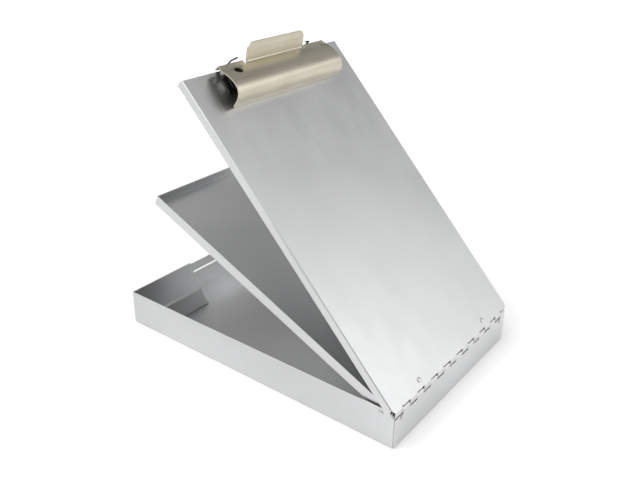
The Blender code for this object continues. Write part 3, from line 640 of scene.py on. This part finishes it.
tray_half = TRAY_WIDTH / 2
tray_sheet = FoldedSheet()
tray_rings = []
for inset, height in (*fold_levels(FOLD_RADIUS), (0, TRAY_DEPTH)):
    x, start, end, n = tray_half - inset, TRAY_START + inset, TRAY_END - inset, height - TRAY_DEPTH
    tray_rings.append([(-x, start, n), (x, start, n), (x, end, n), (-x, end, n)])
tray_sheet.panel(tray_rings[0])
for lower, upper in zip(tray_rings, tray_rings[1:]):
    tray_sheet.roll([*lower, lower[0]], [*upper, upper[0]])
lug_turn = math.degrees(math.asin(LUG_TOP / LUG_RADIUS))
lug_root = TRAY_START + LUG_WELD
lug_outline = [(lug_root, LUG_TOP), *arc((0, 0), LUG_RADIUS, lug_turn, 270, 24)]
lug_outline += [(LUG_FRONT, LUG_BOTTOM), (lug_root, LUG_BOTTOM)]
lugs, eyes = bmesh.new(), bmesh.new()
for boundary in LUG_BOUNDARIES:
    lug_x = (boundary - SEGMENTS / 2) * PITCH
    slug(lugs, lug_outline, "X", lug_x - LUG_SHEET / 2, lug_x + LUG_SHEET / 2)
    slug(eyes, circle((0, 0), LUG_EYE), "X", lug_x - LUG_SHEET, lug_x + LUG_SHEET)
mid_tray = press("mid_tray_folded", tray_sheet, (0, 0, -1), satin, tray_stand, joins=lugs, cuts=eyes)
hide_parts("mid_tray")
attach(mid_tray, "tray")


# ================================================================ lid
# The writing board: a 247.6 mm wide plate with its sides and front turned down over the base. Its
# hinge edge is slit: every other tongue dips and rolls round the rod, and those between stay flat.
# Two rivets near the hinge close its corners.

LID_WIDTH, LID_TOP, LID_START, LID_COVER, LID_END = 247.6, 5.5, 3.2, 2.5, 371.7
FLANGE_START, FLANGE_BOTTOM, CORNER_CUT = 6.0, -3.0, 1.2
LID_RIVET_X, LID_RIVET_S = 69.0, 10.0
LID_STANDS = math.radians(46.43)
lid_stand = hinge @ Matrix.Rotation(LID_STANDS, 4, "X")
lid_half = LID_WIDTH / 2

lid_sheet = FoldedSheet()
lid_flat = lid_half - FOLD_RADIUS
hinge_edge = [(-lid_flat, FLANGE_START), (-lid_flat, LID_START + CORNER_CUT)]
hinge_edge.append((CORNER_CUT - lid_flat, LID_START))
for (start, end), (cover_start, cover_end) in zip(lid_knuckles, base_knuckles):
    hinge_edge += [(start, LID_START), (end, LID_START), (cover_start, LID_START)]
    hinge_edge += [(cover_start, LID_COVER), (cover_end, LID_COVER), (cover_end, LID_START)]
hinge_edge.append((lid_flat - CORNER_CUT, LID_START))
hinge_edge += [(lid_flat, LID_START + CORNER_CUT), (lid_flat, FLANGE_START)]
lid_front = LID_END - FOLD_RADIUS
lid_sheet.panel([(x, s, LID_TOP) for x, s in (*hinge_edge, (lid_flat, lid_front), (-lid_flat, lid_front))])
lid_rows = []
for inset, depth in (*fold_levels(FOLD_RADIUS), (0, LID_TOP - FLANGE_BOTTOM)):
    x, end, n = lid_half - inset, LID_END - inset, LID_TOP - depth
    lid_rows.append([(-x, FLANGE_START, n), (-x, end, n), (x, end, n), (x, FLANGE_START, n)])
for upper, lower in zip(lid_rows, lid_rows[1:]):
    lid_sheet.roll(upper, lower)
neck = BARREL_RADIUS * math.sqrt(0.5)
lid_roll = [(LID_START, LID_TOP), (LID_TOP - 2 * neck + 0.5, LID_TOP), (LID_TOP - 2 * neck, LID_TOP - 0.15)]
lid_roll += arc((0, 0), BARREL_RADIUS, 135, 385, BARREL_STEPS)
for start, end in lid_knuckles:
    lid_sheet.roll([(start, *point) for point in lid_roll], [(end, *point) for point in lid_roll])
lid = press("lid_folded", lid_sheet, (0, 0, 1), satin, lid_stand)
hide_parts("lid")
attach(lid, "lid")


def on_lid(x, s, n):
    return lid_stand @ Matrix.Translation(Vector((x, s, n)) * MM)


for number, side in ((1, -1), (2, 1)):
    rivet(f"lid_rivet_{number}", on_lid(side * LID_RIVET_X, LID_RIVET_S, LID_TOP), (0, 0, 1), SHEET)


# ================================================================ clip base, rivets and pin
# A plated steel plate riveted on the lid under the clip. Its near-black colour is painted shade for the dark
# hollow under the clip.
# Its ends are folded up into two ears, which hold the pin that the clip turns on. The pin's ends are headed
# over outside the ears.

CLIP_SHEET = 1.2
PLATE_START, PLATE_END, PLATE_BOTTOM = 345.0, 370.5, LID_TOP + CLEARANCE
PIN_S, PIN_N, PIN_RADIUS, PIN_EASE = 365.0, LID_TOP + 7.0, 1.5, 0.2
EAR_X, EAR_START, EAR_END, EAR_RADIUS = 78.6, 360.5, 367.5, 4.0
RIVET_HOLE, PLATE_PUNCH = RIVET_SHANK + CLEARANCE, 3.0
CLIP_RIVETS = ((-58.0, 352.0), (58.0, 352.0))
LATCH_RIVETS = ((-14.0, 354.5), (14.0, 354.5))
LATCH_TAIL = 2.6  # how far above the rod the latch rivets' tails end
PIN_END = ((0, 1.0), (1.3, 0.95), (2.0, 0.75), (2.35, 0.4), (2.4, 0.12), (2.3, 0), (PIN_RADIUS, 0))

# This near-black tint is painted shade, the darkness under the clip, and not the colour of the plate's
# plating.
plate_painted_shade = drawn_steel("plate_painted_shade_black", (0.07, 0.067, 0.06), 0.45)
base_plate = FoldedSheet()
plate_edge = []
for side in (-1, 1):
    x = side * EAR_X
    plate_edge += [(x, s, PLATE_BOTTOM) for s in (PLATE_START, EAR_START, EAR_END, PLATE_END)][::side]
    ear_head = arc((PIN_S, PIN_N), EAR_RADIUS, 0, 180, 18)
    base_plate.panel([(x, s, n) for s, n in ((EAR_START, PLATE_BOTTOM), (EAR_END, PLATE_BOTTOM), *ear_head)])
base_plate.panel(plate_edge)
plate_holes = bmesh.new()
hole_low, hole_high = PLATE_BOTTOM - CLEARANCE / 2, PLATE_BOTTOM + PLATE_PUNCH
for place in (*CLIP_RIVETS, *LATCH_RIVETS):
    slug(plate_holes, circle(place, RIVET_HOLE), "Z", hole_low, hole_high)
for x in (-EAR_X, EAR_X):
    slug(plate_holes, circle((PIN_S, PIN_N), PIN_RADIUS + PIN_EASE), "X", x - PLATE_PUNCH, x + PLATE_PUNCH)
clip_base = press(
    "clip_base_folded", base_plate, (0, 0, -1), plate_painted_shade, lid_stand, CLIP_SHEET, cuts=plate_holes
)
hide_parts("clip_base")
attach(clip_base, "lid")

plate_top = PLATE_BOTTOM + CLIP_SHEET
for number, place in enumerate(CLIP_RIVETS, 1):
    rivet(f"clip_rivet_{number}", on_lid(*place, plate_top), (0, 0, 1), plate_top - LID_TOP + SHEET)
for number, place in enumerate(LATCH_RIVETS, 1):
    rivet(f"latch_rivet_{number}", on_lid(*place, plate_top), (0, 0, 1), plate_top - LATCH_TAIL)

pin_half = EAR_X + CLEARANCE
pin_profile = [(r, -pin_half - h) for r, h in PIN_END]
pin_profile += [(r, pin_half + h) for r, h in reversed(PIN_END)]
pin_turn = on_lid(0, PIN_S, PIN_N) @ Matrix.Rotation(math.radians(90), 4, "Y")
clip_pin = turned("clip_pin_headed", pin_profile, rod_steel, pin_turn)
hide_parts("clip_pin")
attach(clip_pin, "lid")


# ================================================================ clip springs
# Two torsion springs of dark 1.6 mm wire, wound round the pin beside the clip's ears. Each has one
# leg on the plate and one that comes up behind the clip's rear edge; the left one's bent end shows.

WIRE_RADIUS = 0.8
COIL_RADIUS, COIL_TURNS, COIL_PITCH, COIL_START_X = 2.9, 4, 2.0, 71.8
STEPS_A_TURN = 28
FRONT_LEG_END, FRONT_LEG_RISE, FRONT_LEG_ROOT = 350.0, 2.6, 361.0
REAR_BEND_S, REAR_BEND = 371.2, 1.9
HOOKS = {-1: (11.4, 62, 16.0), 1: (10.4, 90, 12.3)}  # above the lid: bend's centre, its turn, the tip
HOOK_TIP_X = 57.1
spring_steel = drawn_steel("spring_wire", (0.08, 0.078, 0.07), 0.42, (1, 1, 1))


def spring(name, side):
    """The wire from the front leg's end to the rear leg's, drawn on the lid and swept by a curve."""
    coil_bottom = PIN_N - COIL_RADIUS
    path = [(side * COIL_START_X, FRONT_LEG_END, PLATE_BOTTOM + FRONT_LEG_RISE)]
    path.append((side * COIL_START_X, FRONT_LEG_ROOT, coil_bottom))
    coil = arc((PIN_S, PIN_N), COIL_RADIUS, -90, -90 + 360 * COIL_TURNS, STEPS_A_TURN * COIL_TURNS)
    for i, (s, n) in enumerate(coil):
        path.append((side * (COIL_START_X - COIL_PITCH * i / STEPS_A_TURN), s, n))
    end_x = COIL_START_X - COIL_PITCH * COIL_TURNS
    rise = arc((REAR_BEND_S, coil_bottom + REAR_BEND), REAR_BEND, -90, 0, 8)
    path += [(side * end_x, s, n) for s, n in rise]
    hook_n, hook_turn, tip_n = HOOKS[side]
    hook = arc((end_x - REAR_BEND, LID_TOP + hook_n), REAR_BEND, 0, hook_turn, 6)
    path += [(side * x, REAR_BEND_S + REAR_BEND, n) for x, n in hook]
    path.append((side * HOOK_TIP_X, REAR_BEND_S + REAR_BEND, LID_TOP + tip_n))

    data = bpy.data.curves.new(name, "CURVE")
    data.dimensions = "3D"
    data.bevel_depth = WIRE_RADIUS * MM
    data.bevel_resolution = 4
    data.use_fill_caps = True
    spline = data.splines.new("POLY")
    spline.points.add(len(path) - 1)
    for point, (x, s, n) in zip(spline.points, path):
        point.co = (*(lid_stand @ (Vector((x, s, n)) * MM)), 1)
    swept = bpy.data.objects.new(name, data)
    bpy.context.scene.collection.objects.link(swept)
    made = bpy.data.objects.new(name, bpy.data.meshes.new_from_object(swept))
    bpy.data.objects.remove(swept, do_unlink=True)
    bpy.context.scene.collection.objects.link(made)
    made.data.shade_smooth()
    made.data.set_sharp_from_angle(angle=math.radians(50))
    made.data.materials.clear()
    made.data.materials.append(spring_steel)
    made.name = name
    return made


for side, hand in ((-1, "left"), (1, "right")):
    clip_spring = spring(f"clip_spring_{hand}_wound", side)
    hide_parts(f"clip_spring_{hand}")
    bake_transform(clip_spring)


# ================================================================ clip jaw
# The clip itself: one sheet of nickel-plated steel, rolled from its foot over a high crest and down
# to the rear. There the middle turns up into the thumb tab, between two small relief notches, and
# the sides turn down. Two ears under it carry it on the pin.

FOOT, CREST, SHOULDER, FOLD = (329.8, 0.3), (344.3, 20.8), (364.6, 14.2), (368.3, 13.1)
FRONT_HANDLES = ((328.6, 9.5), (333.2, CREST[1]))
REAR_HANDLES = ((351.5, CREST[1]), (357.5, 18.4))
FOLD_FLAT = (1.2, 0.1)  # from the fold back to where the tab and the hems start
CLIP_HALF_FOOT, CLIP_HALF_CREST, FOOT_CORNER = 88.0, 85.5, 7.0
TAB_HALF, TAB_END, TAB_CORNER, TAB_BEND = 45.6, (379.6, 28.2), 8.0, 2.4
HEM_INNER, HEM_OUTER, HEM_S, HEM_BOTTOM, HEM_BEND = 48.9, 84.0, 371.0, 6.5, 2.0
JAW_EAR_X, JAW_EAR_RADIUS, JAW_EAR_TOPS = 74.0, 3.2, (5.5, 6.6, 8.2)
PIN_BORE = 1.8
WIDE_HOLE, WIDE_HOLE_RADIUS, WIDE_HOLE_SLANT = (-66.4, 359.7), 5.2, 0.76
SMALL_HOLE, SMALL_HOLE_RADIUS = (-74.4, 368.6), 0.9
SLIT_ENDS, SLIT_HALF = ((75.8, 366.0), (83.0, 360.4)), 0.7
NOTCH_END = 6.0
JAW_PUNCH, NOTCH_PUNCH = (4, 15), (2, 12)  # from where to where above the pin


def nickel(name):
    """Warm brushed nickel: fine lines along the clip, soft streaks and a little tarnish."""
    finish = bpy.data.materials.new(name)
    finish.use_nodes = True
    nodes, links = finish.node_tree.nodes, finish.node_tree.links
    shader = nodes["Principled BSDF"]
    shader.inputs["Metallic"].default_value = 1.0
    place = nodes.new("ShaderNodeTexCoord")

    def noise(scales, detail):
        mapping = nodes.new("ShaderNodeMapping")
        mapping.inputs["Scale"].default_value = scales
        links.new(place.outputs["Object"], mapping.inputs["Vector"])
        made = nodes.new("ShaderNodeTexNoise")
        made.inputs["Scale"].default_value = 1.0
        made.inputs["Detail"].default_value = detail
        links.new(mapping.outputs["Vector"], made.inputs["Vector"])
        return made.outputs["Fac"]

    def blend_of(first, second, share):
        made = nodes.new("ShaderNodeMix")
        made.inputs["Factor"].default_value = share
        links.new(first, made.inputs["A"])
        links.new(second, made.inputs["B"])
        return made.outputs["Result"]

    lines = noise((25, 1300, 1300), 3)
    streaks = noise((6, 160, 160), 3)
    clouds = noise((22, 30, 30), 2)
    tone = nodes.new("ShaderNodeValToRGB")
    worn, clean = tone.color_ramp.elements
    worn.position, clean.position = 0.32, 0.68
    worn.color = (0.49, 0.445, 0.34, 1)
    clean.color = (0.64, 0.605, 0.51, 1)
    links.new(blend_of(blend_of(streaks, clouds, 0.5), lines, 0.3), tone.inputs["Fac"])
    links.new(tone.outputs["Color"], shader.inputs["Base Color"])
    rough = nodes.new("ShaderNodeMapRange")
    rough.inputs["From Min"].default_value = 0.3
    rough.inputs["From Max"].default_value = 0.7
    rough.inputs["To Min"].default_value = 0.27
    rough.inputs["To Max"].default_value = 0.40
    links.new(blend_of(lines, streaks, 0.5), rough.inputs["Value"])
    links.new(rough.outputs["Result"], shader.inputs["Roughness"])
    bump = nodes.new("ShaderNodeBump")
    bump.inputs["Strength"].default_value = 0.22
    bump.inputs["Distance"].default_value = 0.02 * MM
    links.new(lines, bump.inputs["Height"])
    links.new(bump.outputs["Normal"], shader.inputs["Normal"])
    return finish


def curve_through(knots, steps):
    points = interpolate_bezier(*[Vector((*knot, 0)) for knot in knots], steps + 1)
    return [(point.x, point.y) for point in points]


front_curve = curve_through((FOOT, *FRONT_HANDLES, CREST), 22)
rear_curve = curve_through((CREST, *REAR_HANDLES, SHOULDER), 16)
fold_start = (FOLD[0] - FOLD_FLAT[0], FOLD[1] + FOLD_FLAT[1])
cover_line = [*front_curve, *rear_curve[1:], fold_start]


def cover_half(s, height):
    """Widest above the foot, whose corners are rounded, and narrower from the crest back."""
    if s > CREST[0]:
        return CLIP_HALF_CREST
    half = CLIP_HALF_FOOT + (CLIP_HALF_CREST - CLIP_HALF_FOOT) * height / CREST[1]
    if height < FOOT_CORNER:
        half -= FOOT_CORNER - math.sqrt(FOOT_CORNER**2 - (FOOT_CORNER - height) ** 2)
    return half


def on_jaw(x, point):
    """A point of the clip, counted from its pin."""
    return (x, point[0] - PIN_S, point[1] + LID_TOP - PIN_N)


jaw_sheet = FoldedSheet()
cover_rows = []
for point in cover_line:
    half = cover_half(*point)
    columns = (-half, -HEM_OUTER, -HEM_INNER, -TAB_HALF, TAB_HALF, HEM_INNER, HEM_OUTER, half)
    cover_rows.append([on_jaw(x, point) for x in columns])
for lower, upper in zip(cover_rows, cover_rows[1:]):
    jaw_sheet.roll(lower, upper)

rise = Vector((TAB_END[0] - FOLD[0], TAB_END[1] - FOLD[1]))
tab_angle = math.degrees(math.atan2(rise.y, rise.x))
tab_line = arc((fold_start[0], fold_start[1] + TAB_BEND), TAB_BEND, -90, tab_angle - 90, 8)
tab_root = Vector(tab_line[-1])
tab_way = Vector(TAB_END) - tab_root
tab_rows = [[on_jaw(x, point) for x in (-TAB_HALF, TAB_HALF)] for point in tab_line]
for turn in range(0, 91, 9):
    distance = tab_way.length - TAB_CORNER * (1 - math.sin(math.radians(turn)))
    half = TAB_HALF - TAB_CORNER * (1 - math.cos(math.radians(turn)))
    point = tab_root + tab_way.normalized() * distance
    tab_rows.append([on_jaw(-half, point), on_jaw(half, point)])
for lower, upper in zip(tab_rows, tab_rows[1:]):
    jaw_sheet.roll(lower, upper)

hem_centre = (HEM_S - HEM_BEND, FOLD[1] - HEM_BEND)
hem_line = [fold_start, *arc(hem_centre, HEM_BEND, 84, 0, 8), (HEM_S, HEM_BOTTOM)]
for sides in ((-HEM_OUTER, -HEM_INNER), (HEM_INNER, HEM_OUTER)):
    jaw_sheet.roll(*[[on_jaw(x, point) for point in hem_line] for x in sides])

jaw_ears = bmesh.new()
ear_top = zip((JAW_EAR_RADIUS, SHOULDER[0] - PIN_S, -JAW_EAR_RADIUS), JAW_EAR_TOPS)
jaw_ear = [*arc((0, 0), JAW_EAR_RADIUS, 180, 360, 20), *ear_top]
for x in (-JAW_EAR_X, JAW_EAR_X):
    slug(jaw_ears, jaw_ear, "X", x - CLIP_SHEET / 2, x + CLIP_SHEET / 2)

jaw_punch = bmesh.new()
slug(jaw_punch, circle((0, 0), PIN_BORE), "X", -JAW_EAR_X - PLATE_PUNCH, JAW_EAR_X + PLATE_PUNCH)
wide_hole = []
for x, s in circle((0, 0), WIDE_HOLE_RADIUS, 40):
    wide_hole.append((x + WIDE_HOLE[0], s * WIDE_HOLE_SLANT + WIDE_HOLE[1] - PIN_S))
slug(jaw_punch, wide_hole, "Z", *JAW_PUNCH)
notch_radius = (HEM_INNER - TAB_HALF) / 2 - 0.01
slug(jaw_punch, circle((SMALL_HOLE[0], SMALL_HOLE[1] - PIN_S), SMALL_HOLE_RADIUS, 16), "Z", *JAW_PUNCH)
for side in (-1, 1):
    notch_x = side * (TAB_HALF + HEM_INNER) / 2
    notch = arc((notch_x, fold_start[0] - PIN_S), notch_radius, 180, 360, 16)
    slug(jaw_punch, [*notch, (notch[-1][0], NOTCH_END), (notch[0][0], NOTCH_END)], "Z", *NOTCH_PUNCH)
slit_start, slit_end = [(x, s - PIN_S) for x, s in SLIT_ENDS]
slit_turn = math.degrees(math.atan2(slit_end[1] - slit_start[1], slit_end[0] - slit_start[0]))
slit = arc(slit_end, SLIT_HALF, slit_turn - 90, slit_turn + 90, 8)
slit += arc(slit_start, SLIT_HALF, slit_turn + 90, slit_turn + 270, 8)
slug(jaw_punch, slit, "Z", *JAW_PUNCH)

jaw_stand = on_lid(0, PIN_S, PIN_N)
warm_nickel = nickel("warm_nickel")
clip_jaw = press(
    "clip_jaw_rolled", jaw_sheet, (0, 0, 1), warm_nickel, jaw_stand, CLIP_SHEET,
    joins=jaw_ears, cuts=jaw_punch,
)
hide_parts("clip_jaw")
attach(clip_jaw, "jaw")


# ================================================================ latch strip
# A spring steel strip riveted under the lid's free end. It hangs outside the base's front wall, and
# the crease across it snaps into the wall's slot; its lip is flared so that it rides over the rim.

LATCH_SHEET, LATCH_TOP, LATCH_HALF = 0.8, 3.6, 22.0
LATCH_START, LATCH_BEND = 349.0, 1.6
CREASE, LIP_START, LIP_REACH = 1.25, 1.4, 2.8

latch_outer = base_end - ROD_Y + SEAM + LATCH_SHEET
latch_pivot = (LATCH_RIVETS[0][1], LATCH_TOP - LATCH_SHEET / 2)
slot_n = slot_middle - ROD_Z
crease_low = slot_n - CREASE
lip_low = crease_low - LIP_START
latch_line = [(LATCH_START, LATCH_TOP)]
latch_line += arc((latch_outer - LATCH_BEND, LATCH_TOP - LATCH_BEND), LATCH_BEND, 90, 0, 8)
latch_line += [(latch_outer, slot_n + CREASE), (latch_outer - CREASE, slot_n), (latch_outer, crease_low)]
latch_line += [(latch_outer, lip_low), (latch_outer + LIP_REACH, lip_low - LIP_REACH)]
latch_rows = []
for x in (-LATCH_HALF, LATCH_HALF):
    latch_rows.append([(x, s - latch_pivot[0], n - latch_pivot[1]) for s, n in latch_line])
latch_sheet = FoldedSheet()
latch_sheet.roll(*latch_rows)
latch_holes = bmesh.new()
for x, s in LATCH_RIVETS:
    slug(latch_holes, circle((x, s - latch_pivot[0]), RIVET_HOLE), "Z", -PLATE_PUNCH, PLATE_PUNCH)
blued = drawn_steel("blued_strip", (0.30, 0.30, 0.31), 0.34, (0.02, 1, 1))
latch_stand = on_lid(0, *latch_pivot)
latch = press("latch_strip", latch_sheet, (0, 1, 1), blued, latch_stand, LATCH_SHEET, cuts=latch_holes)
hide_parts("latch_spring")
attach(latch, "latch")
